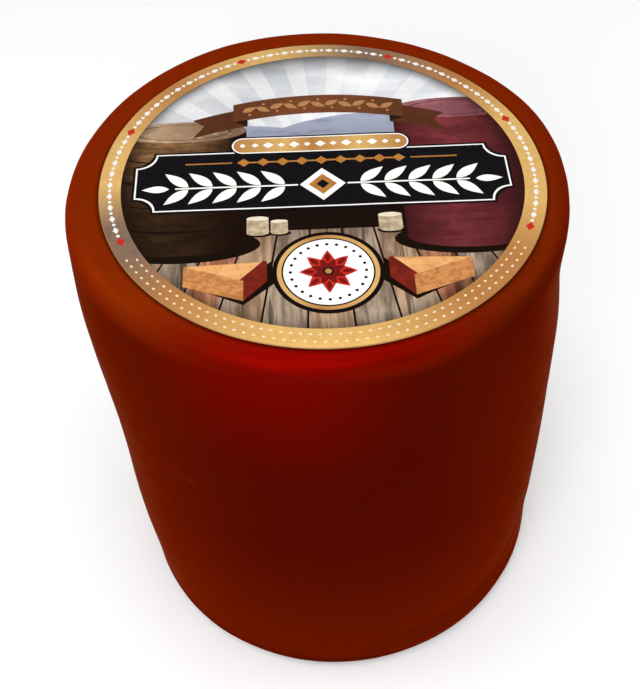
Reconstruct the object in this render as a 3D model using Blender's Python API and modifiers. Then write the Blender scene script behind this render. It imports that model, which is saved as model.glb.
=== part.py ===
"""A whole drum of cheddar in a dark red-brown wax coat, with a round printed label on its top.

Sizes are in metres. +Z is up, the origin is the middle of the flat base, and -Y is the front.
"""

import math

import bmesh
import bpy
from mathutils import Matrix, Vector

# Driving sizes of the waxed wheel
WHEEL_RADIUS = 0.065
WHEEL_HEIGHT = 0.151
SHOULDER_RADIUS = 0.0072
FOOT_RADIUS = 0.0040
SIDE_SWELL = 0.0011
TOP_SLOPE = math.radians(1.9)

# Driving sizes of the label
LABEL_RADIUS = 0.0567
LABEL_THICKNESS = 0.0005
LABEL_OFFSET = (0.0012, -0.0028)
BORDER_WIDTH = 0.0058
PLAQUE_TOP = 0.011
PLAQUE_BOTTOM = -0.011
BOARDS_TOP = -0.021
LABEL_GAP = 0.0003

# Places where the wax wall stands in or out:
# (degrees round from +X, height, reach round the wall in degrees, reach in height, metres out)
HOLLOWS_AND_SWELLS = (
    (-160, 0.124, 20, 0.022, 0.0013),
    (-160, 0.068, 22, 0.022, -0.0006),
    (-171, 0.006, 24, 0.022, -0.0010),
    (-14, 0.020, 26, 0.020, -0.0006),
    (-9, 0.130, 20, 0.014, -0.0015),
    (30, 0.147, 22, 0.016, 0.0012),
    (158, 0.149, 18, 0.012, -0.0004),
    (-92, 0.070, 34, 0.036, -0.0006),
    (85, 0.060, 36, 0.030, -0.0007),
)

# The soft fold that the wax makes near the foot, at the front right
FOLD_MIDDLE = math.radians(-50)
FOLD_REACH = math.radians(30)
FOLD_HEIGHT = 0.0078
FOLD_RISE = 0.0012
FOLD_HALF_WIDTH = 0.0028
FOLD_STAND = 0.0009

# Mesh fineness
ROUND_STEPS = 96
EDGE_STEPS = 6
WALL_RINGS = 12
FOLD_RINGS = 5

WAX_COLOUR = (0.200, 0.014, 0.002, 1.0)
GOLD_COLOUR = (0.560, 0.330, 0.110, 1.0)
SKY_COLOUR = (0.720, 0.730, 0.750, 1.0)
PLAQUE_COLOUR = (0.010, 0.009, 0.012, 1.0)
CELLAR_COLOUR = (0.075, 0.022, 0.020, 1.0)
BOARD_COLOUR = (0.330, 0.210, 0.130, 1.0)


def clear_scene():
    """Removes every object and starts the wheel's own collection."""
    for old in list(bpy.data.objects):
        bpy.data.objects.remove(old, do_unlink=True)
    collection = bpy.data.collections.new("waxed_cheddar_wheel")
    bpy.context.scene.collection.children.link(collection)
    return collection


def plain_material(name, colour, roughness, metallic=0.0):
    """A Principled material of one colour."""
    material = bpy.data.materials.new(name)
    material.use_nodes = True
    shader = material.node_tree.nodes["Principled BSDF"]
    shader.inputs["Base Color"].default_value = colour
    shader.inputs["Roughness"].default_value = roughness
    shader.inputs["Metallic"].default_value = metallic
    material.diffuse_color = colour
    return material


def wheel_profile():
    """Half of the wheel's outline, from the middle of the top, down the wall, to the middle of the base."""
    points = [(0.0, WHEEL_HEIGHT)]
    quarter = [math.radians(90) * step / EDGE_STEPS for step in range(EDGE_STEPS + 1)]
    for turn in quarter:
        radius = WHEEL_RADIUS - SHOULDER_RADIUS + SHOULDER_RADIUS * math.sin(turn)
        points.append((radius, WHEEL_HEIGHT - SHOULDER_RADIUS + SHOULDER_RADIUS * math.cos(turn)))
    wall_top = WHEEL_HEIGHT - SHOULDER_RADIUS
    fold_top = FOLD_HEIGHT + FOLD_RISE + 2 * FOLD_HALF_WIDTH
    for step in range(1, WALL_RINGS + 1):
        points.append((WHEEL_RADIUS, wall_top + (fold_top - wall_top) * step / WALL_RINGS))
    for step in range(1, FOLD_RINGS):
        points.append((WHEEL_RADIUS, fold_top + (FOOT_RADIUS - fold_top) * step / FOLD_RINGS))
    for turn in quarter:
        radius = WHEEL_RADIUS - FOOT_RADIUS + FOOT_RADIUS * math.cos(turn)
        points.append((radius, FOOT_RADIUS - FOOT_RADIUS * math.sin(turn)))
    points.append((0.0, 0.0))
    return points


def angle_between(first, second):
    """The smallest turn from one angle to another, in radians."""
    return abs((first - second + math.pi) % math.tau - math.pi)


def wall_stand(angle, height):
    """How far the wax wall stands out from a true cylinder, in metres."""
    share = height / WHEEL_HEIGHT
    stand = SIDE_SWELL * 4 * share * (1 - share)
    for degrees, middle, reach_round, reach_up, out in HOLLOWS_AND_SWELLS:
        across = angle_between(angle, math.radians(degrees)) / math.radians(reach_round)
        along = (height - middle) / reach_up
        stand += out * math.exp(-across * across - along * along)
    across = angle_between(angle, FOLD_MIDDLE) / FOLD_REACH
    fold_line = FOLD_HEIGHT + FOLD_RISE * across * across
    along = (height - fold_line) / FOLD_HALF_WIDTH
    return stand + FOLD_STAND * math.exp(-(across ** 4) - along * along)


def make_wheel(collection):
    """The waxed drum: a turned profile, then made as uneven as a dipped wheel is."""
    profile = bpy.data.meshes.new("wheel_profile")
    points = wheel_profile()
    edges = [(step, step + 1) for step in range(len(points) - 1)]
    profile.from_pydata([(radius, 0, height) for radius, height in points], edges, [])
    turned = bpy.data.objects.new("turned_profile", profile)
    collection.objects.link(turned)
    screw = turned.modifiers.new("turn", "SCREW")
    screw.steps = screw.render_steps = ROUND_STEPS
    screw.use_merge_vertices = True
    screw.merge_threshold = 0.00005

    evaluated = turned.evaluated_get(bpy.context.evaluated_depsgraph_get())
    mesh = bpy.data.meshes.new_from_object(evaluated)
    bpy.data.objects.remove(turned, do_unlink=True)
    for vertex in mesh.vertices:
        x, y, z = vertex.co
        radius = math.hypot(x, y)
        if radius > WHEEL_RADIUS / 2:
            grown = 1 + wall_stand(math.atan2(y, x), z) / WHEEL_RADIUS
            vertex.co.x *= grown
            vertex.co.y *= grown
        vertex.co.z -= math.tan(TOP_SLOPE) * vertex.co.x * (z / WHEEL_HEIGHT) ** 2
    mesh.name = "wax_wheel"
    mesh.shade_smooth()
    mesh.set_sharp_from_angle(angle=math.radians(40))

    wheel = bpy.data.objects.new("wax_wheel", mesh)
    wheel.data.materials.append(plain_material("dark_red_wax", WAX_COLOUR, 0.42))
    collection.objects.link(wheel)
    return wheel


def label_field(middle):
    """Which colour field of the print a face of the label belongs to."""
    if math.hypot(middle.x, middle.y) > LABEL_RADIUS - BORDER_WIDTH:
        return 0
    if middle.y > PLAQUE_TOP:
        return 1
    if middle.y > PLAQUE_BOTTOM:
        return 2
    return 3 if middle.y > BOARDS_TOP else 4


def make_label(collection):
    """The label: one disc, with the main colour fields of its print as faces of their own."""
    shape = bmesh.new()
    bmesh.ops.create_circle(shape, cap_ends=True, radius=LABEL_RADIUS, segments=ROUND_STEPS)
    bmesh.ops.inset_region(shape, faces=shape.faces[:], thickness=BORDER_WIDTH)
    for line in (PLAQUE_TOP, PLAQUE_BOTTOM, BOARDS_TOP):
        everything = shape.verts[:] + shape.edges[:] + shape.faces[:]
        bmesh.ops.bisect_plane(shape, geom=everything, plane_co=(0, line, 0), plane_no=(0, 1, 0))
    for face in shape.faces:
        face.material_index = label_field(face.calc_center_median())
    raised = bmesh.ops.extrude_face_region(shape, geom=shape.faces[:], use_keep_orig=True)
    top = [item for item in raised["geom"] if isinstance(item, bmesh.types.BMVert)]
    bmesh.ops.translate(shape, verts=top, vec=(0, 0, LABEL_THICKNESS))
    bmesh.ops.recalc_face_normals(shape, faces=shape.faces[:])
    mesh = bpy.data.meshes.new("label")
    shape.to_mesh(mesh)
    shape.free()

    label = bpy.data.objects.new("label", mesh)
    fields = (
        plain_material("gold_border", GOLD_COLOUR, 0.35, 0.6),
        plain_material("pale_sky", SKY_COLOUR, 0.40),
        plain_material("black_plaque", PLAQUE_COLOUR, 0.35),
        plain_material("cellar_brown", CELLAR_COLOUR, 0.40),
        plain_material("tan_boards", BOARD_COLOUR, 0.45),
    )
    for material in fields:
        mesh.materials.append(material)
    across, along = LABEL_OFFSET
    height = WHEEL_HEIGHT - math.tan(TOP_SLOPE) * across + LABEL_GAP
    label.matrix_world = Matrix.Translation(Vector((across, along, height))) @ Matrix.Rotation(TOP_SLOPE, 4, "Y")
    collection.objects.link(label)
    return label


def main():
    collection = clear_scene()
    make_wheel(collection)
    make_label(collection)


main()
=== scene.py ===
"""The looks of a whole waxed cheddar: its dark red-brown wax coat and the printed label on its top.

Everything is in metres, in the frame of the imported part: +Z up, -Y at the front.
"""

import math
import random
from functools import cached_property, partial

import bmesh
import bpy
from mathutils import Matrix, Quaternion, Vector, noise


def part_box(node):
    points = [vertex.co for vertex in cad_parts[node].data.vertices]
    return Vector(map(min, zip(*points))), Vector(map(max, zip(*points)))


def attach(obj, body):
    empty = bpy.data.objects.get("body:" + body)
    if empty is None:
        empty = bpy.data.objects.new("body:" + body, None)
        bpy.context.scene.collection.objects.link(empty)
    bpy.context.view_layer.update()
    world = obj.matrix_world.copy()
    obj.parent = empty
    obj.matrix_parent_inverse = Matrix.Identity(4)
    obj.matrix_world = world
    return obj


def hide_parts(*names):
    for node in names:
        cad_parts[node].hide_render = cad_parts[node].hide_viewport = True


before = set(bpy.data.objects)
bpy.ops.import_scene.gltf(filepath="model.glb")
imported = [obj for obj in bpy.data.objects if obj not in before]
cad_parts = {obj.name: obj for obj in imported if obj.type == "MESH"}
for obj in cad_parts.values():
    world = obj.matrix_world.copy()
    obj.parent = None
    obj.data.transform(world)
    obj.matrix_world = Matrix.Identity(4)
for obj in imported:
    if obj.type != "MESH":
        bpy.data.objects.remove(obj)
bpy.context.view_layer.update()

bl_info = {
    "name": "Waxed Cheddar Wheel",
    "version": (1, 1, 0),
    "blender": (4, 5, 0),
    "location": "View3D > Sidebar > Cheddar",
    "description": "Makes the wax coat and the printed label of a whole cheddar, and a studio round it",
    "category": "Object",
}

BODY = "root"
LABEL_LOW, LABEL_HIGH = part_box("label")

# The label's place, read from the frame: it lies on a top that slopes down towards +X
LABEL_MIDDLE = (LABEL_LOW + LABEL_HIGH) / 2
LABEL_RADIUS = (LABEL_HIGH.y - LABEL_LOW.y) / 2
CAD_LABEL_THICKNESS = 0.0005
CAD_LABEL_GAP = 0.0003
LABEL_RISE = LABEL_HIGH.z - LABEL_LOW.z - CAD_LABEL_THICKNESS
TOP_SLOPE = math.asin(LABEL_RISE / (2 * LABEL_RADIUS))
LABEL_TURN = Matrix.Rotation(TOP_SLOPE, 3, "Y")
LABEL_SEAT = LABEL_MIDDLE - LABEL_TURN @ Vector((0, 0, CAD_LABEL_THICKNESS / 2 + CAD_LABEL_GAP))
PAPER_REST = 0.00003

# Places where the wax wall stands in or out, as in the part:
# (degrees round from +X, height, reach round the wall in degrees, reach in height, metres out)
HOLLOWS_AND_SWELLS = (
    (-160, 0.124, 20, 0.022, 0.0013),
    (-160, 0.068, 22, 0.022, -0.0006),
    (-171, 0.006, 24, 0.022, -0.0010),
    (-14, 0.020, 26, 0.020, -0.0006),
    (-9, 0.130, 20, 0.014, -0.0015),
    (30, 0.147, 22, 0.016, 0.0012),
    (158, 0.149, 18, 0.012, -0.0004),
    (-92, 0.070, 34, 0.036, -0.0006),
    (85, 0.060, 36, 0.030, -0.0007),
)

# The soft fold that the wax makes near the foot, as in the part
FOLD_MIDDLE = math.radians(-50)
FOLD_REACH = math.radians(30)
FOLD_HEIGHT = 0.0078
FOLD_RISE = 0.0012
FOLD_HALF_WIDTH = 0.0028

# The shallow crease above the fold. It lies level and then climbs, between two shares of a full turn
CREASE_TURNS = (0.37, 0.43)
CREASE_HEIGHTS = (0.0150, 0.0270)
CREASE_FADE = (0.060, 0.105)
CREASE_HALF_WIDTH = 0.0040
CREASE_DEPTH = 0.00030
CREST_ABOVE_CREASE = 0.0065

# Fineness of the meshes, and how close to a cut a vertex counts as on it
WAX_STEPS = 336
WALL_STEP = 0.0012
SHOULDER_SEGMENTS = 12
ROUND_STEPS = 192
ARC_STEPS = 12
CUT_TOLERANCE = 0.0000001

# The wax's unevenness and the paper's waves: (height, length) of each wave of wax, and lengths for the paper
WAX_WAVES = ((0.00022, 0.024), (0.00007, 0.008))
PAPER_WAVES = (0.021, 0.009)

# The finger dents: where their random draws start, and their least and largest reach and depth
DENT_SEED = 12
DENT_REACH = (0.006, 0.012)
DENT_DEPTH = (0.00010, 0.00030)

# Over this width beside the label the wax turns from smooth to uneven
UNEVEN_FROM_LABEL = 0.003

# Faint rubbed marks in the wax: (degrees round from +X, height, half length, half width, tilt in degrees)
SCUFFS = (
    (-74.5, 0.0315, 0.0040, 0.0006, 58),
    (-128, 0.094, 0.0060, 0.0006, -15),
    (-24, 0.062, 0.0070, 0.0008, 8),
    (38, 0.110, 0.0080, 0.0008, 24),
    (96, 0.041, 0.0060, 0.0010, -35),
    (163, 0.075, 0.0075, 0.0007, 12),
)

# Middle of a painted shade on the shoulder, at the front right
PAINTED_SHOULDER_SHADE = (0.048, -0.040, 0.147)

# Print layers: each one stands this much higher than the one below, and follows the paper in steps this long
INK = 0.000014
PRESS_STEP = 0.0028
BOW_STEP = 0.001

# Print levels, from the paper up
LEVELS = (
    "paper", "sky", "rays", "far hill", "near hill", "table", "boards", "shade", "goods", "caps",
    "goods marks", "border", "frame", "line", "ground", "marks", "over marks", "fine", "over fine", "top",
)

# Grey of the table's worn patches, and which of the three woods each board is, from the left
WORN_WOOD = (0.42, 0.33, 0.24)
BOARDS = (1, 0, 1, 2, 0, 1, 0, 1, 0, 2, 1, 0, 1)

# The label's plan, counted from its middle: x to the right, y away from the reader
TABLE_BACK = -0.0185
TABLE_FRONT = -0.0600
ROUND_DEPTH = 0.0042
PLAQUE_HALF_WIDTH = 0.0482
PLAQUE_HALF_HEIGHT = 0.0114
PLAQUE_SCOOP = 0.0050
GARLAND_Y = -0.0025
GEMS_Y = 0.0066
BAR_Y = 0.0132
RIBBON_Y = 0.0268
RIBBON_HALF_WIDTH = 0.0228
RIBBON_HALF_HEIGHT = 0.0037
RIBBON_RISE = 0.0030
BADGE_MIDDLE = (0.0, -0.0332)

# Where the border's gold turns, in degrees round from +X, and to which of its three tones
GOLD_TURNS = (
    (-180, "bright"), (-164, "mauve"), (-152, "mauve"), (-132, "copper"), (-104, "bright"), (-82, "bright"),
    (-54, "copper"), (-32, "copper"), (-12, "bright"), (22, "bright"), (43, "copper"), (75, "mauve"),
    (105, "bright"), (135, "copper"), (166, "bright"), (180, "bright"),
)
BAR_TURNS = ((0.0, "copper"), (0.30, "bright"), (0.45, "copper"), (0.72, "bright"), (1.0, "copper"))

# The inks in the label's own colours: how much darker or lighter they vary, how finely and how far
PLAIN_INKS = {
    "cream": (0.9, 200.0, 0.3),
    "black": (1.8, 300.0, 0.5),
    "tan": (0.7, 500.0, 0.6),
    "red": (0.7, 400.0, 0.5),
}

# The studio's softboxes: (name, place, size). The front one is an ellipse, this deep
OVERHEAD = ("overhead_softbox", (0.0, -0.05, 1.60), 1.20)
FRONT = ("front_softbox", (-0.09, -0.42, 0.48), 0.42)
FRONT_DEPTH = 0.18
LEFT = ("left_softbox", (-0.80, 0.10, 0.45), 0.45)
RIGHT = ("right_softbox", (0.80, 0.10, 0.45), 0.45)
LIGHT_AIM = (0, 0, 0.09)
FLOOR_RADIUS = 4.0
SENSOR_WIDTH = 36.0

# The kinds of setting
Number = bpy.props.FloatProperty
Length = partial(Number, unit="LENGTH")
Angle = partial(Number, subtype="ANGLE")
Colour = partial(bpy.props.FloatVectorProperty, subtype="COLOR")


class WaxSettings(bpy.types.PropertyGroup):
    """Sizes and colours of the wax coat."""

    radius: Length(name="Radius", description="Radius of the wheel's wall", default=0.065)
    height: Length(name="Height", description="Height of the wheel at its axis", default=0.151)
    shoulder: Length(name="Shoulder", description="Rounding between the top and the wall", default=0.0072)
    foot: Length(name="Foot", description="Rounding between the wall and the base", default=0.0040)
    swell: Length(name="Swell", description="How far the middle of the wall swells out", default=0.0011)
    fold: Length(name="Foot Fold", description="How far the fold above the foot stands out", default=0.0009)
    dents: bpy.props.IntProperty(
        name="Dents", description="How many shallow finger dents the wax has", default=16, min=0
    )
    # Painted highlight: the clear red painted on the front shoulder
    painted_highlight_colour: Colour(
        name="Front Shoulder", description="Clear red of the thickest wax, at the front shoulder",
        default=(0.200, 0.0006, 0.0002)
    )
    wall_colour: Colour(
        name="Wall", description="Dark red-brown of the front of the wall", default=(0.059, 0.0028, 0.0002)
    )
    # Painted floor light: the lighter brown-red painted near the foot
    painted_foot_light_colour: Colour(
        name="Foot Colour", description="Lighter brown-red near the foot", default=(0.109, 0.0090, 0.0003)
    )
    # Painted side light: the browner, lighter red painted on the sides and the back
    painted_side_light_colour: Colour(
        name="Sides", description="Browner red of the sides and the back", default=(0.080, 0.0068, 0.0003)
    )
    # Painted light over the rim of the shoulder, in orange-brown
    painted_rim_light_colour: Colour(
        name="Rim", description="Orange-brown where the wax is thin, over the rim",
        default=(0.200, 0.0180, 0.0009)
    )


class LabelSettings(bpy.types.PropertyGroup):
    """Sizes and colours of the printed label."""

    thickness: Length(name="Thickness", description="Thickness of the coated paper", default=0.00030)
    ripple: Length(name="Ripple", description="Height of the paper's slight waves", default=0.00012)
    border: Length(name="Border", description="Width of the gold border", default=0.0056)
    bright: Colour(name="Bright Gold", description="Bright tone of the gold", default=(0.66, 0.40, 0.130))
    copper: Colour(name="Copper Gold", description="Copper tone of the gold", default=(0.41, 0.175, 0.054))
    mauve: Colour(name="Mauve Gold", description="Mauve tone of the gold", default=(0.178, 0.112, 0.086))
    black: Colour(name="Black", description="Ground of the plaque", default=(0.0036, 0.0029, 0.0038))
    cream: Colour(name="Cream", description="Light ink of the garland and lines", default=(0.84, 0.82, 0.78))
    tan: Colour(name="Tan", description="Tan ink of the small marks", default=(0.42, 0.17, 0.036))
    red: Colour(name="Red", description="Red ink of the small marks", default=(0.50, 0.022, 0.014))


class StudioSettings(bpy.types.PropertyGroup):
    """The camera, the lights and the floor."""

    rise: Angle(name="Rise", description="How far the camera looks down", default=math.radians(49.73))
    side: Angle(name="Side", description="How far the camera looks towards -X", default=math.radians(0.60))
    roll: Angle(name="Roll", description="How far the camera is rolled", default=math.radians(-3.95))
    distance: Length(name="Distance", description="From the camera to the point it aims at", default=0.3540)
    aim: bpy.props.FloatVectorProperty(
        name="Aim", description="Point that the camera aims at", default=(-0.0024, 0.0037, 0.0782),
        subtype="XYZ", unit="LENGTH"
    )
    lens: Number(name="Lens", description="Focal length in millimetres on a 36 mm sensor", default=60.37)
    floor_colour: Colour(name="Floor", description="Colour of the pale floor", default=(0.97, 0.97, 0.97))
    top_light: Number(name="Top Light", description="Power of the overhead softbox in watts", default=9.0)
    front_light: Number(name="Front Light", description="Power of the front softbox in watts", default=1.7)
    left_light: Number(name="Left Light", description="Power of the left softbox in watts", default=1.0)
    right_light: Number(name="Right Light", description="Power of the right softbox in watts", default=0.9)
    sky_light: Number(name="Sky Light", description="Strength of the even light all round", default=0.53)


def opaque(colour):
    """A plain colour with full alpha. A socket stays as it is."""
    return colour if isinstance(colour, bpy.types.NodeSocket) else (*colour[:3], 1.0)


def toned(colour, share):
    """A colour made darker or lighter by a share."""
    return tuple(part * share for part in colour[:3])


class Mixer:
    """Adds shader nodes to one tree. Each method that mixes gives the socket of its result."""

    def __init__(self, tree, middle=None):
        self.tree = tree
        self.middle = middle

    @cached_property
    def place(self):
        """Object coordinates, counted from the mixer's middle if it has one."""
        place = self.add("TexCoord").outputs["Object"]
        if self.middle is None:
            return place
        inputs = {0: place, 1: tuple(self.middle)}
        return self.add("VectorMath", inputs, operation="SUBTRACT").outputs["Vector"]

    def feed(self, node, inputs):
        """Gives a node's inputs their values, or links the sockets that feed them."""
        for name, value in inputs.items():
            if isinstance(value, bpy.types.NodeSocket):
                self.tree.links.new(value, node.inputs[name])
            else:
                node.inputs[name].default_value = value

    def add(self, kind, inputs=None, **settings):
        """Adds one node."""
        node = self.tree.nodes.new("ShaderNode" + kind)
        for name, value in settings.items():
            setattr(node, name, value)
        self.feed(node, inputs or {})
        return node

    def maths(self, operation, first, second=0.0, clamp=False):
        """One Math node's result."""
        return self.add("Math", {0: first, 1: second}, operation=operation, use_clamp=clamp).outputs["Value"]

    def times(self, first, second):
        """One value times another."""
        return self.maths("MULTIPLY", first, second)

    def apart(self, first, second=0.0):
        """How far one value is from another."""
        return self.maths("ABSOLUTE", self.maths("SUBTRACT", first, second))

    def blend(self, factor, first, second, mode="MIX"):
        """One colour mix's result."""
        inputs = {0: factor, 6: opaque(first), 7: opaque(second)}
        return self.add("Mix", inputs, data_type="RGBA", blend_type=mode).outputs[2]

    def dimmed(self, colour, share):
        """A colour times a value."""
        grey = self.add("CombineColor", {0: share, 1: share, 2: share}).outputs[0]
        return self.blend(1.0, colour, grey, "MULTIPLY")

    def spread(self, value, low, high, to_low=0.0, to_high=1.0, smooth=True):
        """A value moved from one range to another."""
        inputs = {"Value": value, "From Min": low, "From Max": high, "To Min": to_low, "To Max": to_high}
        kind = "SMOOTHSTEP" if smooth else "LINEAR"
        return self.add("MapRange", inputs, interpolation_type=kind).outputs["Result"]

    def grain(self, scale, detail=3.0, rough=0.5, stretch=(1, 1, 1)):
        """A noise value, finer along an axis where stretch is larger."""
        turned = self.add("Mapping", {"Vector": self.place, "Scale": stretch}).outputs["Vector"]
        inputs = {"Vector": turned, "Scale": scale, "Detail": detail, "Roughness": rough}
        return self.add("TexNoise", inputs).outputs["Fac"]

    def mottled(self, under, over, noise, low, high, amount=1.0):
        """A colour with patches of another, where a grain is high."""
        return self.blend(self.spread(self.grain(*noise), low, high, 0.0, amount), under, over)

    def distance(self, spot):
        """How far the place is from a fixed spot."""
        return self.add("VectorMath", {0: self.place, 1: tuple(spot)}, operation="DISTANCE").outputs["Value"]

    def axis(self, name):
        """One coordinate of the place."""
        return self.add("SeparateXYZ", {"Vector": self.place}).outputs[name]

    def turn(self):
        """The place's share of a full turn, from -X round through -Y."""
        return self.add("TexGradient", {"Vector": self.place}, gradient_type="RADIAL").outputs["Fac"]

    def ramp(self, value, stops):
        """A colour ramp's result. Each stop is (position, colour)."""
        node = self.add("ValToRGB", {"Fac": value})
        elements = node.color_ramp.elements
        elements[0].position, elements[1].position = stops[0][0], stops[-1][0]
        for position, _ in stops[1:-1]:
            elements.new(position)
        for element, (_, colour) in zip(elements, stops):
            element.color = opaque(colour)
        return node.outputs["Color"]

    def surface(self, shader, colour, rough, height, strength):
        """Feeds a shader its colour, its roughness and its fine relief."""
        bump = self.add("Bump", {"Height": height, "Strength": strength, "Distance": 0.0001})
        self.feed(shader, {"Base Color": colour, "Roughness": rough, "Normal": bump.outputs["Normal"]})


def principled(name, **values):
    """A new material with one Principled shader, its sockets set by name."""
    material = bpy.data.materials.new(name)
    material.use_nodes = True
    shader = material.node_tree.nodes["Principled BSDF"]
    for label, value in values.items():
        shader.inputs[label.replace("_", " ")].default_value = value
    return material, shader


def make_print_group():
    """Print on coated paper: varied tone, fine dots, a shade beside the border, and the paper's gloss."""
    group = bpy.data.node_groups.new("coated_print", "ShaderNodeTree")
    inputs = (
        ("Colour", "Color", (0.5, 0.5, 0.5, 1.0)), ("Deep Colour", "Color", (0.2, 0.2, 0.2, 1.0)),
        ("Tone Scale", "Float", 200.0), ("Tone", "Float", 0.3), ("Border Shade", "Float", 0.5),
        ("Border Width", "Float", 0.0056),
    )
    for name, kind, default in inputs:
        socket = group.interface.new_socket(name, in_out="INPUT", socket_type="NodeSocket" + kind)
        socket.default_value = default
    for name, kind in (("Colour", "Color"), ("Roughness", "Float"), ("Height", "Float")):
        group.interface.new_socket(name, in_out="OUTPUT", socket_type="NodeSocket" + kind)
    given, result = group.nodes.new("NodeGroupInput").outputs, group.nodes.new("NodeGroupOutput")
    mix = Mixer(group)
    tone = mix.times(mix.spread(mix.grain(given["Tone Scale"], 5.0, 0.6), 0.35, 0.68), given["Tone"])
    colour = mix.blend(tone, given["Colour"], given["Deep Colour"])
    colour = mix.dimmed(colour, mix.spread(mix.grain(2600.0, 1.0), 0.3, 0.7, 0.95, 1.04))

    # The shade beside the border is widest at the top of the picture
    inner = mix.maths("SUBTRACT", LABEL_RADIUS, given["Border Width"])
    from_border = mix.maths("SUBTRACT", mix.distance(LABEL_MIDDLE), inner)
    top = mix.spread(mix.apart(mix.axis("X"), LABEL_MIDDLE.x), 0.009, 0.026, 1.0, 0.0)
    top = mix.times(top, mix.spread(mix.axis("Y"), LABEL_MIDDLE.y, LABEL_MIDDLE.y + 0.020))
    start = mix.spread(top, 0.0, 1.0, -0.0046, -0.0094, False)
    end = mix.spread(top, 0.0, 1.0, 0.0018, 0.0032, False)
    shade = mix.times(mix.spread(from_border, start, end), given["Border Shade"])
    colour = mix.blend(shade, colour, (0.009, 0.0045, 0.002))

    gloss = mix.spread(mix.grain(90.0, 2.0), 0.3, 0.7, 0.34, 0.44)
    height = mix.maths("ADD", mix.grain(900.0), mix.times(mix.grain(60.0, 1.0), 4.0))
    mix.feed(result, {"Colour": colour, "Roughness": gloss, "Height": height})
    return group


def ink(name, colour, deep=None, scale=200.0, tone=0.3, shade=0.0, metallic=0.0, painted=None):
    """A printed ink, made once. With painted, that function gives its colour from a mixer."""
    if name in bpy.data.materials:
        return bpy.data.materials[name]
    material, shader = principled(
        name, Metallic=metallic, Specular_IOR_Level=0.03, Coat_Weight=0.005, Coat_Roughness=0.15
    )
    mix = Mixer(material.node_tree, LABEL_MIDDLE)
    inputs = {
        "Colour": painted(mix) if painted else opaque(colour),
        "Deep Colour": opaque(deep or toned(colour, 0.7)), "Tone Scale": scale, "Tone": tone,
        "Border Shade": shade, "Border Width": bpy.context.scene.cheddar_label.border
    }
    group = bpy.data.node_groups.get("coated_print") or make_print_group()
    print_on = mix.add("Group", inputs, node_tree=group).outputs
    mix.surface(shader, print_on["Colour"], print_on["Roughness"], print_on["Height"], 0.12)
    return material


def plain_ink(label, name):
    """One of the inks in the label's own colours."""
    share, scale, tone = PLAIN_INKS[name]
    colour = getattr(label, name)
    return ink(name + "_ink", colour, toned(colour, share), scale, tone)


def gold_ink(label):
    """Gold that turns between bright, copper and mauve round the label, as foil does."""
    stops = [(degrees / 360 + 0.5, getattr(label, tone)) for degrees, tone in GOLD_TURNS]
    return ink(
        "gold_ink", label.bright, toned(label.bright, 0.55), 480.0, 0.22, 0.0, 0.15,
        lambda mix: mix.ramp(mix.turn(), stops)
    )


def gold_bar_ink(label):
    """Gold that is bright right of its middle and copper at its ends."""
    stops = [(share, getattr(label, tone)) for share, tone in BAR_TURNS]
    return ink(
        "gold_bar_ink", label.bright, toned(label.bright, 0.6), 480.0, 0.2, 0.0, 0.15,
        lambda mix: mix.ramp(mix.spread(mix.axis("X"), -0.023, 0.023, smooth=False), stops)
    )


def angle_between(first, second):
    """The smallest turn from one angle to another, in radians."""
    return abs((first - second + math.pi) % math.tau - math.pi)


def wall_stand(wax, angle, height):
    """How far the wax wall stands out from a true cylinder, as in the part."""
    share = height / wax.height
    stand = wax.swell * 4 * share * (1 - share)
    for degrees, middle, reach_round, reach_up, out in HOLLOWS_AND_SWELLS:
        across = angle_between(angle, math.radians(degrees)) / math.radians(reach_round)
        along = (height - middle) / reach_up
        stand += out * math.exp(-across * across - along * along)
    across = angle_between(angle, FOLD_MIDDLE) / FOLD_REACH
    along = (height - FOLD_HEIGHT - FOLD_RISE * across * across) / FOLD_HALF_WIDTH
    return stand + wax.fold * math.exp(-(across ** 4) - along * along)


def eased(value, low, high):
    """0 below the low end, 1 above the high end, and a soft step between."""
    share = min(1.0, max(0.0, (value - low) / (high - low)))
    return share * share * (3 - 2 * share)


def crease_depth(angle, height):
    """How deep the crease above the fold is at a place on the wall, in metres."""
    turn = (angle / math.tau + 0.5) % 1
    low, high = CREASE_HEIGHTS
    along = (height - low - (high - low) * eased(turn, *CREASE_TURNS)) / CREASE_HALF_WIDTH
    ends = 1 - eased(abs(turn - FOLD_MIDDLE / math.tau - 0.5), *CREASE_FADE)
    return CREASE_DEPTH * math.exp(-2 * along * along) * ends


def top_drop(wax, x, y):
    """How far the shoulder has fallen below the top's plane at a place."""
    over = max(0.0, math.hypot(x, y) - (wax.radius - wax.shoulder))
    return wax.shoulder - math.sqrt(max(0.0, wax.shoulder ** 2 - over ** 2))


def turned_shape(shape, steps):
    """Spins everything in the shape once round Z, and closes its seam and poles."""
    bmesh.ops.spin(
        shape, geom=shape.verts[:] + shape.edges[:], cent=(0, 0, 0), axis=(0, 0, 1), dvec=(0, 0, 0),
        angle=math.tau, steps=steps, use_merge=True, use_duplicate=False
    )
    bmesh.ops.remove_doubles(shape, verts=shape.verts[:], dist=0.000001)
    bmesh.ops.recalc_face_normals(shape, faces=shape.faces[:])
    return shape


def half_outline(radius, height, top_round, foot_round, step, segments):
    """The right half of a drum's outline, with rounded corners, cut finely along its straight lines."""
    shape = bmesh.new()
    corners = ((0, height), (radius, height), (radius, 0), (0, 0))
    verts = [shape.verts.new((x, 0, z)) for x, z in corners]
    for pair in zip(verts, verts[1:]):
        shape.edges.new(pair)
    for corner, offset in ((verts[1], top_round), (verts[2], foot_round)):
        bmesh.ops.bevel(
            shape, geom=[corner], offset=offset, offset_type="OFFSET", segments=segments, profile=0.5,
            affect="VERTICES", material=-1
        )
    for edge in shape.edges[:]:
        cuts = int(edge.calc_length() / step)
        if cuts:
            bmesh.ops.subdivide_edges(shape, edges=[edge], cuts=cuts)
    return shape


def as_mesh(name, shape):
    """A mesh of the shape, which is then dropped."""
    mesh = bpy.data.meshes.new(name)
    shape.to_mesh(mesh)
    shape.free()
    return mesh


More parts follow.
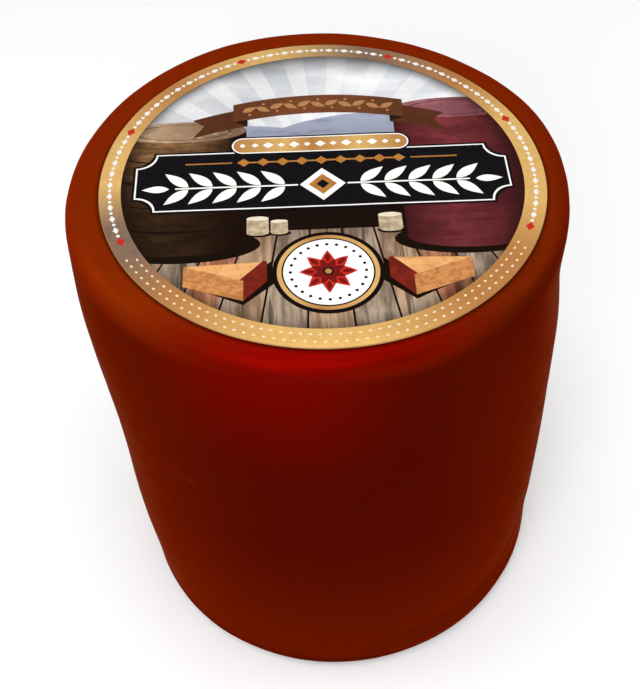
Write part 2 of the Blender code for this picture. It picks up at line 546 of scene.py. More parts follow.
def add_object(name, shape, material):
    """Makes the shape an object of the scene."""
    made = bpy.data.objects.new(name, as_mesh(name, shape))
    made.data.materials.append(material)
    bpy.context.scene.collection.objects.link(made)
    return made


def add_piece(name, shape, material, sharp=40):
    """Makes the shape an object that rides on the wheel."""
    piece = add_object(name, shape, material)
    piece.data.shade_smooth()
    piece.data.set_sharp_from_angle(angle=math.radians(sharp))
    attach(piece, BODY)
    return piece


def label_point(wax, label, spot):
    """Where a point of the flat label lies once it is pressed on the wheel. Z is counted from the wax."""
    broad = noise.noise(Vector((spot.x, spot.y, 0.0)) / PAPER_WAVES[0])
    narrow = noise.noise(Vector((spot.y, spot.x, 0.01)) / PAPER_WAVES[1])
    lift = label.ripple * max(0.0, 0.5 + 0.8 * (broad + 0.5 * narrow))
    drop = top_drop(wax, spot.x + LABEL_SEAT.x, spot.y + LABEL_SEAT.y)
    return LABEL_SEAT + LABEL_TURN @ Vector((spot.x, spot.y, spot.z + lift - drop + PAPER_REST))


def cut(shape, spot, normal, drop=False):
    """Cuts a flat shape along a line. With drop, what lies beyond the line goes."""
    everything = shape.verts[:] + shape.edges[:] + shape.faces[:]
    bmesh.ops.bisect_plane(
        shape, geom=everything, dist=CUT_TOLERANCE, plane_co=spot, plane_no=normal, clear_outer=drop
    )


def cut_to_grid(shape, step=PRESS_STEP):
    """Cuts a flat shape along a square grid, so that it can follow the paper."""
    for axis, normal in enumerate(((1, 0, 0), (0, 1, 0))):
        low = min(vert.co[axis] for vert in shape.verts)
        high = max(vert.co[axis] for vert in shape.verts)
        for line in range(math.ceil(low / step), math.floor(high / step) + 1):
            cut(shape, tuple(part * line * step for part in normal), normal)


def pressed(target, shape, level):
    """Gives a flat shape its ink thickness above the paper, and adds it to the target."""
    cut_to_grid(shape)
    raised = bmesh.ops.extrude_face_region(shape, geom=shape.faces[:], use_keep_orig=True)
    top = [item for item in raised["geom"] if isinstance(item, bmesh.types.BMVert)]
    bmesh.ops.translate(shape, verts=top, vec=(0, 0, level * INK))
    bmesh.ops.recalc_face_normals(shape, faces=shape.faces[:])
    wax, label = bpy.context.scene.cheddar_wax, bpy.context.scene.cheddar_label
    for vert in shape.verts:
        vert.co = label_point(wax, label, vert.co + Vector((0, 0, label.thickness)))
    added = as_mesh("pressed", shape)
    target.from_mesh(added)
    bpy.data.meshes.remove(added)


def printed(name, material, *layers):
    """Makes one piece of print, label_NAME. Each layer is the name of its level and its flat shapes."""
    piece = bmesh.new()
    for level, shapes in layers:
        for shape in shapes:
            if shape.faces:
                pressed(piece, shape, LEVELS.index(level))
    add_piece("label_" + name, piece, material)


def flat_ring(inner, outer, cuts):
    """A flat ring round the label's middle."""
    shape = bmesh.new()
    line = shape.edges.new((shape.verts.new((inner, 0, 0)), shape.verts.new((outer, 0, 0))))
    bmesh.ops.subdivide_edges(shape, edges=[line], cuts=cuts)
    return turned_shape(shape, ROUND_STEPS)


def flat_disc(radius, centre=(0, 0), squash=1.0, segments=64):
    """A flat round or oval face."""
    shape = bmesh.new()
    bmesh.ops.create_circle(shape, cap_ends=True, radius=radius, segments=segments)
    return moved(scaled(shape, 1, squash), centre)


def flat_bar(half_width, half_height, centre=(0, 0)):
    """A flat rectangle."""
    shape = bmesh.new()
    bmesh.ops.create_grid(shape, x_segments=1, y_segments=1, size=1)
    return moved(scaled(shape, half_width, half_height), centre)


def flat_pill(half_length, radius, centre=(0, 0)):
    """A flat bar with round ends."""
    shape = flat_disc(radius, segments=40)
    for vert in shape.verts:
        vert.co.x += math.copysign(half_length - radius, vert.co.x)
    return moved(shape, centre)


def flat_diamond(half_width, half_height, centre=(0, 0)):
    """A flat diamond."""
    return flat_disc(half_width, centre, half_height / half_width, 4)


def flat_leaf(length, width):
    """A pointed leaf along +X from the origin, widest a little before its middle."""
    shape = flat_disc(0.5, segments=24)
    for vert in shape.verts:
        along = min(1.0, vert.co.x + 0.5)
        taper = math.sin(math.pi * along ** 0.8)
        side = math.copysign(1.0, vert.co.y) if abs(vert.co.y) > 0.00001 else 0.0
        vert.co.x = along * length
        vert.co.y = side * taper * width / 2
    return shape


def flat_outline(runs):
    """A flat face inside a closed line. A run is a point, or (start, middle, degrees) for an arc."""
    shape = bmesh.new()
    path = []
    for run in runs:
        start = run[0] if len(run) == 3 else run
        path.append(shape.verts.new((*start, 0)))
        if len(run) == 3:
            bmesh.ops.spin(
                shape, geom=[path[-1]], cent=(*run[1], 0), axis=(0, 0, 1), dvec=(0, 0, 0),
                angle=math.radians(run[2]), steps=ARC_STEPS, use_merge=False, use_duplicate=False
            )
            for _ in range(ARC_STEPS):
                ahead = [edge.other_vert(path[-1]) for edge in path[-1].link_edges]
                path += [vert for vert in ahead if vert not in path]
    shape.faces.new(path)
    return shape


def moved(shape, way):
    """A flat shape moved along its plane."""
    bmesh.ops.translate(shape, verts=shape.verts[:], vec=(*way, 0))
    return shape


def scaled(shape, across, along):
    """A flat shape made wider and deeper from the label's middle."""
    bmesh.ops.scale(shape, verts=shape.verts[:], vec=(across, along, 1))
    return shape


def mirrored(shape, side):
    """A flat shape turned over the label's middle line if side is -1."""
    scaled(shape, side, 1)
    bmesh.ops.recalc_face_normals(shape, faces=shape.faces[:])
    return shape


def bowed(shape, rise, reach):
    """Bends a flat shape upwards, most at the label's middle line and not at all at the reach."""
    cut_to_grid(shape, BOW_STEP)
    for vert in shape.verts:
        vert.co.y += rise * (1 - (vert.co.x / reach) ** 2)
    return shape


def round_side(half_width, half_height, centre, depth, reach=None):
    """The side of a round cheese seen from above: a bar that sags like the near half of an oval."""
    shape = flat_bar(half_width, half_height, centre)
    cut_to_grid(shape, BOW_STEP)
    for vert in shape.verts:
        across = (vert.co.x - centre[0]) / (reach or half_width)
        vert.co.y -= depth * math.sqrt(max(0.0, 1 - across * across))
    return shape


def kept_inside(shape, radius, sides=64):
    """Keeps the part of a flat shape that is inside a circle round the label's middle."""
    for side in range(sides):
        angle = math.tau * side / sides
        away = Vector((math.cos(angle), math.sin(angle), 0))
        if any(vert.co.dot(away) > radius for vert in shape.verts):
            cut(shape, away * radius, away, drop=True)
    return shape


def copies(motif, places):
    """Flat copies of a motif at (x, y, turn in degrees, size) places."""
    mesh = as_mesh("motif", motif)
    made = []
    for x, y, turn, size in places:
        copy = bmesh.new()
        copy.from_mesh(mesh)
        turned = Matrix.Translation((x, y, 0)) @ Matrix.Rotation(math.radians(turn), 4, "Z")
        bmesh.ops.transform(copy, matrix=turned @ Matrix.Scale(size, 4), verts=copy.verts[:])
        made.append(copy)
    bpy.data.meshes.remove(mesh)
    return made


def on_ring(radius, degrees, middle=(0, 0)):
    """A place on a ring, turned to face outwards."""
    angle = math.radians(degrees)
    return (middle[0] + radius * math.cos(angle), middle[1] + radius * math.sin(angle), degrees, 1.0)


def scuff_mask(mix, wax, spot):
    """A worn streak on the wall: 1 at its middle, 0 outside it."""
    degrees, height, half_length, half_width, tilt = spot
    angle = math.radians(degrees)
    inputs = {
        "Vector": mix.place, "Scale": (0.010, half_length, half_width),
        "Rotation": (math.radians(tilt), 0, angle),
        "Location": (wax.radius * math.cos(angle), wax.radius * math.sin(angle), height)
    }
    inside = mix.add("Mapping", inputs, vector_type="TEXTURE").outputs["Vector"]
    away = mix.add("VectorMath", {0: inside}, operation="LENGTH").outputs["Value"]
    ragged = mix.maths("ADD", away, mix.spread(mix.grain(500.0), 0.3, 0.7, -0.4, 0.4))
    return mix.spread(ragged, 1.0, 0.2)


def wax_colour(mix, wax):
    """Dark red-brown wax with painted light in it: a painted red highlight at the front shoulder, painted
    side light over the sides and the back, painted floor light near the foot and painted light over the rim.
    """
    x, y, height = (mix.axis(name) for name in "XYZ")
    # Painted highlight: a clear red on the front shoulder and down the upper front wall, where the front
    # softbox's highlight falls
    front = mix.spread(y, -0.042, -0.0660)
    near_highlight = mix.times(front, mix.spread(mix.apart(x, -0.017), 0.008, 0.045, 1.0, 0.0))
    on_wall = mix.times(near_highlight, mix.spread(height, 0.097, 0.158, 0.0, 0.60))
    on_shoulder = mix.times(front, mix.spread(height, 0.1415, 0.1510))
    painted_highlight = mix.maths("MAXIMUM", on_wall, on_shoulder)
    # Painted side light, with random clouds of tone: a browner, lighter red over the sides and the back
    brown = mix.maths("MAXIMUM", mix.spread(mix.apart(x), 0.015, 0.062), mix.spread(y, -0.050, 0.0))
    cloud = mix.spread(mix.grain(22.0), 0.3, 0.7, -0.08, 0.08)
    colour = mix.blend(mix.maths("ADD", brown, cloud, clamp=True), wax.wall_colour, wax.painted_side_light_colour)
    # Painted floor light: lighter brown-red towards the foot
    colour = mix.blend(mix.spread(height, 0.082, 0.0), colour, wax.painted_foot_light_colour)
    # Painted light over the rim of the shoulder, in orange-brown, except where the painted highlight lies
    thin = mix.maths("SUBTRACT", 1.0, mix.maths("MAXIMUM", painted_highlight, mix.times(near_highlight, 0.95)))
    colour = mix.blend(mix.times(mix.spread(height, 0.1425, 0.1508), thin), colour, wax.painted_rim_light_colour)
    colour = mix.blend(painted_highlight, colour, wax.painted_highlight_colour)
    # Painted shade on the shoulder at the front right
    colour = mix.dimmed(colour, mix.spread(mix.distance(PAINTED_SHOULDER_SHADE), 0.004, 0.026, 0.80, 1.0))

    # Painted shade in the crease above the foot's fold, a painted highlight on the swelling over it, and
    # painted shade on the turned-in foot
    turn = mix.turn()
    folded = mix.spread(mix.apart(turn, FOLD_MIDDLE / math.tau + 0.5), *CREASE_FADE, 1.0, 0.0)
    crease = mix.maths("SUBTRACT", height, mix.spread(turn, *CREASE_TURNS, *CREASE_HEIGHTS))
    painted_crease_shade = mix.spread(mix.apart(crease), 0.0, CREASE_HALF_WIDTH, 0.11, 0.0)
    colour = mix.blend(mix.times(painted_crease_shade, folded), colour, (0, 0, 0))
    painted_crest_highlight = mix.spread(mix.apart(crease, CREST_ABOVE_CREASE), 0.0, 0.0035, 0.05, 0.0)
    colour = mix.blend(mix.times(painted_crest_highlight, folded), colour, wax.painted_rim_light_colour)
    colour = mix.dimmed(colour, mix.spread(height, 0.0048, 0.0074, 0.68, 1.0))

    # A painted shade band along the front shoulder, which narrows the highlight there, random dark specks,
    # and a painted shadow on the wax just beside the label's edge
    away = mix.maths("SUBTRACT", mix.distance(LABEL_MIDDLE), LABEL_RADIUS)
    painted_shade_band = mix.times(front, mix.spread(mix.apart(x, 0.004), 0.013, 0.026, 0.22, 0.0))
    line = mix.spread(mix.apart(away, 0.0037), 0.0, 0.0011, 1.0, 0.0)
    colour = mix.blend(mix.times(painted_shade_band, line), colour, (0, 0, 0))
    specks = mix.spread(mix.grain(700.0, 2.0), 0.62, 0.80, 1.0, 0.78)
    colour = mix.dimmed(colour, mix.times(specks, mix.spread(away, 0.0, 0.0013, 0.45, 1.0)))
    for spot in SCUFFS:
        worn = mix.times(scuff_mask(mix, wax, spot), 0.45)
        colour = mix.blend(worn, colour, toned(wax.painted_rim_light_colour, 0.9))
    return colour


def wax_material(wax):
    """Dark red-brown food wax: its soft highlight is red, from a red-tinted reflection and a little light
    from inside the coat, and a red highlight is also painted into its colour.
    """
    material, shader = principled(
        "red_brown_wax", Metallic=0.30, Subsurface_Weight=0.10, Subsurface_Radius=(1.0, 0.12, 0.04),
        Subsurface_Scale=0.004, Specular_IOR_Level=0.0, Specular_Tint=(1.0, 0.25, 0.06, 1.0),
        Sheen_Weight=0.015, Sheen_Roughness=0.40, Sheen_Tint=(1.0, 0.22, 0.01, 1.0)
    )
    mix = Mixer(material.node_tree)
    rough = mix.spread(mix.grain(120.0, 4.0), 0.3, 0.7, 0.35, 0.43)
    height = mix.maths("ADD", mix.grain(420.0, 4.0), mix.times(mix.grain(110.0), 3.0))
    mix.surface(shader, wax_colour(mix, wax), rough, height, 0.09)
    return material


def finger_dents(wax):
    """Middles, reaches and depths of the shallow dents on the wall and the shoulder."""
    chance = random.Random(DENT_SEED)
    dents = []
    for _ in range(wax.dents):
        angle = chance.uniform(0, math.tau)
        height = chance.uniform(0.012, wax.height - 0.008)
        middle = Vector((wax.radius * math.cos(angle), wax.radius * math.sin(angle), height))
        dents.append((middle, chance.uniform(*DENT_REACH), chance.uniform(*DENT_DEPTH)))
    return dents


def wax_relief(point, dents):
    """Small unevenness of dipped wax at a point, in metres out of the surface."""
    relief = sum(rise * noise.noise(point / reach) for rise, reach in WAX_WAVES)
    for middle, reach, depth in dents:
        away = (point - middle).length_squared / (reach * reach)
        if away < 4:
            relief -= depth * math.exp(-away * 1.5)
    return relief


class CHEDDAR_OT_wax_coat(bpy.types.Operator):
    """Makes the wheel's wax coat, a turned drum made as uneven as dipped wax"""

    bl_idname = "cheddar.wax_coat"
    bl_label = "Wax Coat"

    def execute(self, context):
        wax = context.scene.cheddar_wax
        outline = half_outline(wax.radius, wax.height, wax.shoulder, wax.foot, WALL_STEP, SHOULDER_SEGMENTS)
        shape = turned_shape(outline, WAX_STEPS)
        dents = finger_dents(wax)
        for vert in shape.verts:
            radius = math.hypot(vert.co.x, vert.co.y)
            share = vert.co.z / wax.height
            if radius > wax.radius / 2:
                angle = math.atan2(vert.co.y, vert.co.x)
                stand = wall_stand(wax, angle, vert.co.z) - crease_depth(angle, vert.co.z)
                out = vert.co.xy.normalized() * stand * radius / wax.radius
                vert.co += Vector((*out, 0))
            from_label = (vert.co.xy - LABEL_SEAT.xy).length - LABEL_RADIUS
            bare = min(1.0, max(0.0, from_label / UNEVEN_FROM_LABEL + 0.4)) if share > 0.9 else 1.0
            footed = min(1.0, vert.co.z / wax.foot)
            vert.co += vert.normal * wax_relief(vert.co, dents) * bare * footed
            vert.co.z -= math.tan(TOP_SLOPE) * vert.co.x * share ** 2
        coat = add_piece("wax_coat", shape, wax_material(wax), 60)
        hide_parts("wax_wheel")
        return {"FINISHED"}


class CHEDDAR_OT_label_paper(bpy.types.Operator):
    """Makes the label's sheet of coated paper, pressed on the wheel's top"""

    bl_idname = "cheddar.label_paper"
    bl_label = "Label Paper"

    def execute(self, context):
        wax, label = context.scene.cheddar_wax, context.scene.cheddar_label
        edge = label.thickness * 0.4
        shape = turned_shape(half_outline(LABEL_RADIUS, label.thickness, edge, edge, 0.0015, 3), ROUND_STEPS)
        for vert in shape.verts:
            vert.co = label_point(wax, label, vert.co)
        paper = add_piece("label_paper", shape, ink("coated_paper", (0.40, 0.24, 0.09)))
        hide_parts("label")
        return {"FINISHED"}


class CHEDDAR_OT_label_border(bpy.types.Operator):
    """Makes the label's gold border, its cream chain, its double row of dots and its red diamonds"""

    bl_idname = "cheddar.label_border"
    bl_label = "Label Border"

    def execute(self, context):
        label = context.scene.cheddar_label
        middle = LABEL_RADIUS - label.border / 2
        band = flat_ring(LABEL_RADIUS - label.border, LABEL_RADIUS - 0.00012, 6)
        printed("border", gold_ink(label), ("border", [band]))

        spacing, first, last = 4.5, -22.5, 202.5
        ticks = [first + spacing * index for index in range(round((last - first) / spacing) + 1)]
        reds = ticks[::10]
        links = [on_ring(middle, tick) for tick in ticks if tick not in reds]
        between = [on_ring(middle, tick + spacing / 2) for tick in ticks[:-1]]
        chain = copies(flat_diamond(0.00074, 0.00125), links)
        chain += copies(flat_disc(0.00046, segments=12), between)
        rows = []
        count, start, step, offset, apart = 50, last + 7, 2.45, 1.2, 0.0011
        for index in range(count):
            tick = start + index * step
            rows += [on_ring(middle + apart, tick), on_ring(middle - apart, tick + offset)]
        dots = copies(flat_diamond(0.00036, 0.00050), rows)
        diamonds = copies(flat_diamond(0.0011, 0.0015), [on_ring(middle, tick) for tick in reds])
        chain_ink = ink("chain_ink", toned(label.cream, 0.88), toned(label.cream, 0.75))
        printed("border_marks", chain_ink, ("frame", chain))
        printed("border_rows", ink("pale_ink", (0.78, 0.62, 0.40)), ("frame", dots))
        printed("border_diamonds", plain_ink(label, "red"), ("frame", diamonds))
        return {"FINISHED"}


def sky_paint(mix):
    """Pale grey sky with soft clouds, lighter towards the horizon and the right."""
    rise = mix.spread(mix.axis("Y"), 0.014, 0.050, smooth=False)
    sky = mix.blend(rise, (0.70, 0.71, 0.73), (0.50, 0.52, 0.55))
    sky = mix.mottled(sky, (0.80, 0.80, 0.81), (55.0, 5.0, 0.55, (0.5, 1.3, 1.0)), 0.40, 0.64)
    return mix.dimmed(sky, mix.spread(mix.axis("X"), -0.024, 0.014, 0.80, 1.0))


def ray_paint(mix):
    """The same sky where a ray crosses it."""
    return mix.blend(0.34, sky_paint(mix), (0.86, 0.86, 0.85))


def hill_paint(mix):
    """Lilac-grey downs, hazy towards their tops, with soft hedges."""
    haze = mix.blend(mix.spread(mix.axis("Y"), 0.006, 0.026), (0.135, 0.150, 0.200), (0.330, 0.350, 0.450))
    return mix.mottled(haze, (0.090, 0.100, 0.130), (130.0, 4.0, 0.6, (0.35, 1.6, 1.0)), 0.52, 0.62, 0.45)


def round_paint(lit, dark, middle_x, half, bands, depth, mix):
    """Side of a round cheese: lit left of its middle, dark at both edges and low down."""
    across = mix.spread(mix.maths("SUBTRACT", mix.axis("X"), middle_x), -half, half, smooth=False)
    mid = tuple((a + b) / 2 for a, b in zip(lit, dark))
    shaded = mix.ramp(across, ((0.0, dark), (0.14, mid), (0.36, lit), (0.66, mid), (0.90, dark), (1.0, dark)))
    shaded = mix.blend(mix.spread(mix.axis("Y"), 0.016, -0.012, 0.0, depth), shaded, dark)
    return mix.mottled(shaded, dark, (bands, 4.0, 0.6, (0.22, 1.0, 1.0)), 0.42, 0.60, 0.50)


def cap_paint(lit, dark, middle_x, mix):
    """Top of a round cheese: lit at the left, with rubbed pale patches."""
    across = mix.spread(mix.maths("SUBTRACT", mix.axis("X"), middle_x), -0.014, 0.014)
    colour = mix.blend(across, lit, dark)
    return mix.mottled(colour, toned(lit, 1.8), (260.0, 5.0, 0.65, (0.5, 1.0, 1.0)), 0.52, 0.66, 0.55)


def board_paint(lit, dark, mix):
    """Weathered boards: long grain that runs to the back, worn grey patches, fine lines and cracks."""
    colour = mix.mottled(lit, dark, (190.0, 5.0, 0.6, (1.0, 0.14, 1.0)), 0.42, 0.58)
    colour = mix.mottled(colour, WORN_WOOD, (110.0, 4.0, 0.65, (1.0, 0.5, 1.0)), 0.50, 0.62, 0.75)
    colour = mix.blend(mix.spread(mix.axis("Y"), -0.026, TABLE_BACK, 0.0, 0.45), colour, toned(dark, 0.5))
    colour = mix.mottled(colour, toned(dark, 0.5), (900.0, 4.0, 0.6, (1.0, 0.07, 1.0)), 0.48, 0.62, 0.60)
    return mix.mottled(colour, toned(dark, 0.16), (340.0, 3.0, 0.5, (1.0, 0.05, 1.0)), 0.63, 0.67, 0.8)


def paste_paint(lit, dark, mix):
    """The crumbly cut face of a cheddar."""
    crumb = mix.mottled(lit, dark, (620.0, 4.0, 0.7), 0.42, 0.60)
    return mix.mottled(crumb, toned(dark, 0.6), (260.0, 3.0, 0.6, (0.5, 1.4, 1.0)), 0.56, 0.64, 0.6)


def ribbon_paint(mix):
    """Brown ribbon, lit along its middle and darker at both ends."""
    across = mix.spread(mix.apart(mix.axis("X")), 0.006, RIBBON_HALF_WIDTH)
    colour = mix.blend(across, (0.158, 0.050, 0.017), (0.100, 0.030, 0.011))
    return mix.mottled(colour, (0.085, 0.026, 0.010), (420.0, 3.0, 0.5, (0.3, 1.5, 1.0)), 0.45, 0.60, 0.30)


class CHEDDAR_OT_label_picture(bpy.types.Operator):
    """Makes the label's picture: rays over downs, round cheeses at both sides, and a table in front"""

    bl_idname = "cheddar.label_picture"
    bl_label = "Label Picture"

    def execute(self, context):
        label = context.scene.cheddar_label
        reach = LABEL_RADIUS - label.border + 0.0008
        self.make_sky(reach)
        self.make_table(reach)
        self.make_rounds(reach)
        self.make_wedges()
        return {"FINISHED"}

    def make_sky(self, reach):
        sky = ink("sky_ink", (0.7, 0.7, 0.7), scale=60.0, tone=0.10, shade=1.0, painted=sky_paint)
        printed("sky", sky, ("sky", [flat_disc(reach, segments=128)]))
        rays = []
        count, length, first, spacing, half = 12, 0.07, 11.25, 14.32, 3.2
        for index in range(count):
            middle = first + index * spacing
            ends = [on_ring(length, degrees)[:2] for degrees in (middle - half, middle + half)]
            rays.append(kept_inside(flat_outline([(0.0, 0.0), *ends]), reach))
        light = ink("ray_ink", (0.8, 0.8, 0.8), scale=90.0, tone=0.10, shade=1.0, painted=ray_paint)
        printed("rays", light, ("rays", rays))
        far = kept_inside(flat_disc(0.0560, (0.0140, -0.0305), segments=128), reach)
        near = kept_inside(flat_disc(0.0400, (-0.0200, -0.0185), segments=128), reach)
        downs = ink("hill_ink", (0.3, 0.33, 0.4), scale=260.0, tone=0.25, shade=0.7, painted=hill_paint)
        printed("hills", downs, ("far hill", [far]), ("near hill", [near]))

    def make_table(self, reach):
        cellar = flat_bar(0.0225, 0.0150, (0, TABLE_BACK + 0.0150))
        gaps = flat_disc(reach, segments=128)
        cut(gaps, (0, TABLE_BACK, 0), (0, 1, 0), drop=True)
        dark = ink("gap_ink", (0.0070, 0.0026, 0.0012), scale=300.0, tone=0.4, shade=0.5)
        printed("table", dark, ("table", [cellar, gaps]))
        tones = (
            ("tan_board", (0.46, 0.310, 0.195), (0.230, 0.138, 0.082)),
            ("grey_board", (0.40, 0.300, 0.215), (0.190, 0.134, 0.092)),
            ("rusty_board", (0.45, 0.190, 0.105), (0.260, 0.095, 0.050)),
        )
        boards = [[], [], []]
        back, front, gap = 0.0078, 0.0118, 0.00026
        for index, kind in enumerate(BOARDS):
            left = index - len(BOARDS) / 2
            right = left + 1
            board = flat_outline([
                (left * front + gap, TABLE_FRONT), (right * front - gap, TABLE_FRONT),
                (right * back - gap, TABLE_BACK - gap), (left * back + gap, TABLE_BACK - gap)
            ])
            boards[kind].append(kept_inside(board, reach))
        for (name, *tone), shapes in zip(tones, boards):
            wood = ink(name + "_ink", *tone, 90.0, 0.25, 0.7, painted=partial(board_paint, *tone))
            printed(name + "s", wood, ("boards", shapes))

    def make_rounds(self, reach):
        """A stack of brown cheeses at the left, a tall wine-red one at the right, and small ones between."""
        x, half, low, tall, gap = -0.0362, 0.0168, TABLE_BACK - 0.0040, 0.0085, 0.0003
        sides = []
        for index, shift in enumerate((0.0, 0.0006, -0.0004, 0.0005, 0.0001)):
            middle = (x + shift, low + tall * (index + 0.5))
            sides.append(kept_inside(round_side(half, tall / 2 - gap, middle, ROUND_DEPTH), reach))
        shades = [flat_disc(half + 0.0022, (x + 0.0012, low - 0.0006), 0.30)]
        shades.append(round_side(half - 0.0004, tall * 2.5, (x, low + tall * 2.5), ROUND_DEPTH * 0.9, half))
        brown = ((0.330, 0.165, 0.068), (0.0080, 0.0026, 0.0006))
        painted = partial(round_paint, *brown, x, half, 330.0, 0.92)
        rind = ink("brown_rind_ink", *brown, 420.0, 0.35, 0.8, painted=painted)
        printed("brown_sides", rind, ("goods", sides))
        top = (x + 0.0001, low + tall * 5 - gap)
        self.make_cap("brown", top, half, ((0.440, 0.290, 0.180), (0.170, 0.098, 0.055)), reach)

        x, tall = 0.0366, 0.0490
        side = kept_inside(round_side(half, tall / 2, (x, low + tall / 2), ROUND_DEPTH), reach)
        wine = ((0.205, 0.034, 0.040), (0.040, 0.0055, 0.007))
        painted = partial(round_paint, *wine, x, half, 240.0, 0.30)
        printed("wine_side", ink("wine_wax_ink", *wine, 300.0, 0.35, 0.7, painted=painted), ("goods", [side]))
        top = (x, low + tall)
        self.make_cap("wine", top, half, ((0.270, 0.098, 0.115), (0.125, 0.032, 0.042)), reach)
        shades.append(flat_disc(half + 0.0020, (x - 0.0012, low - 0.0006), 0.30))

        sides, caps = [], []
        small = ((-0.0166, 0.0027, 0.0052), (-0.0113, 0.0021, 0.0040), (0.0160, 0.0029, 0.0050))
        for x, half, height in small:
            y = TABLE_BACK - 0.0010 + height / 2
            sides.append(round_side(half, height / 2, (x, y), half * 0.28))
            caps.append(flat_disc(half, (x, y + height / 2), 0.28, 32))
            shades.append(flat_disc(half * 1.25, (x + 0.0002, y - height / 2 - 0.0002), 0.34, 32))
        cream = ink("small_rind_ink", (0.52, 0.42, 0.28), (0.20, 0.13, 0.07), 500.0, 0.7)
        printed("small_sides", cream, ("caps", sides))
        pale = ink("small_cap_ink", (0.74, 0.67, 0.52), (0.50, 0.40, 0.26), 500.0, 0.4)
        printed("small_caps", pale, ("goods marks", caps))
        shades = [kept_inside(shape, reach) for shape in shades]
        printed("round_shades", bpy.data.materials["gap_ink"], ("shade", shades))

    def make_cap(self, name, middle, half, tones, reach):
        """The top of a standing cheese, with the pressed ring that the mould's lid leaves."""
        squash = ROUND_DEPTH / half
        rind = ink(name + "_cap_ink", *tones, 300.0, 0.25, 0.8, painted=partial(cap_paint, *tones, middle[0]))
        printed(name + "_cap", rind, ("caps", [kept_inside(flat_disc(half, middle, squash), reach)]))
        ring = moved(scaled(flat_ring(half * 0.72, half * 0.76, 0), 1, squash), middle)
        line = ink(name + "_ring_ink", toned(tones[1], 0.45), shade=0.8)
        printed(name + "_ring", line, ("goods marks", [kept_inside(ring, reach)]))

    def make_wedges(self):
        """Two cut wedges on the table, each with its top, its cut face and its wax rind."""
        faces, tops, rinds, shades = [], [], [], []
        tip, near, far, height = (-0.0098, -0.0300), (0.0044, -0.0352), (0.0100, -0.0292), 0.0064
        below_tip, below_near, below_far = ((x, y - height) for x, y in (tip, near, far))
        inset = [(x - 0.0009, y + 0.0003) for x, y in (far, near)]
        dark = (
            (tip[0] - 0.0006, below_tip[1] + 0.0012), (near[0], below_near[1] - 0.0013),
            (far[0] + 0.0022, below_far[1] - 0.0004), (far[0] + 0.0010, far[1]), near
        )
        # The left wedge as drawn here, and its mirror image at the right
        for side in (-1, 1):
            for outline, target in (
                ((tip, below_tip, below_near, near), faces), ((tip, near, far), tops),
                ((near, below_near, below_far, far), rinds), ((near, far, *inset), rinds), (dark, shades)
            ):
                target.append(mirrored(moved(flat_outline(outline), (-0.0245, 0)), -side))
        painted = partial(paste_paint, (0.56, 0.235, 0.075), (0.40, 0.150, 0.045))
        paste = ink("cut_face_ink", (0.5, 0.25, 0.1), scale=400.0, tone=0.2, painted=painted)
        printed("wedge_faces", paste, ("goods", faces))
        painted = partial(paste_paint, (0.72, 0.380, 0.145), (0.62, 0.300, 0.100))
        pale = ink("wedge_top_ink", (0.7, 0.4, 0.2), scale=400.0, tone=0.2, painted=painted)
        printed("wedge_tops", pale, ("caps", tops))
        wax = ink("wedge_wax_ink", (0.190, 0.016, 0.008), (0.070, 0.006, 0.004), 300.0, 0.6)
        printed("wedge_rinds", wax, ("goods marks", rinds))
        printed("wedge_shades", bpy.data.materials["gap_ink"], ("shade", shades))


def scooped(grow):
    """The plaque's outline, with a hollow quarter circle at each corner, made larger or smaller by grow."""
    w, h, s = PLAQUE_HALF_WIDTH + grow, PLAQUE_HALF_HEIGHT + grow, PLAQUE_SCOOP
    return flat_outline([
        ((w - s, -h), (w, -h), -90), ((w, h - s), (w, h), -90), ((-w + s, h), (-w, h), -90),
        ((-w, -h + s), (-w, -h), -90)
    ])


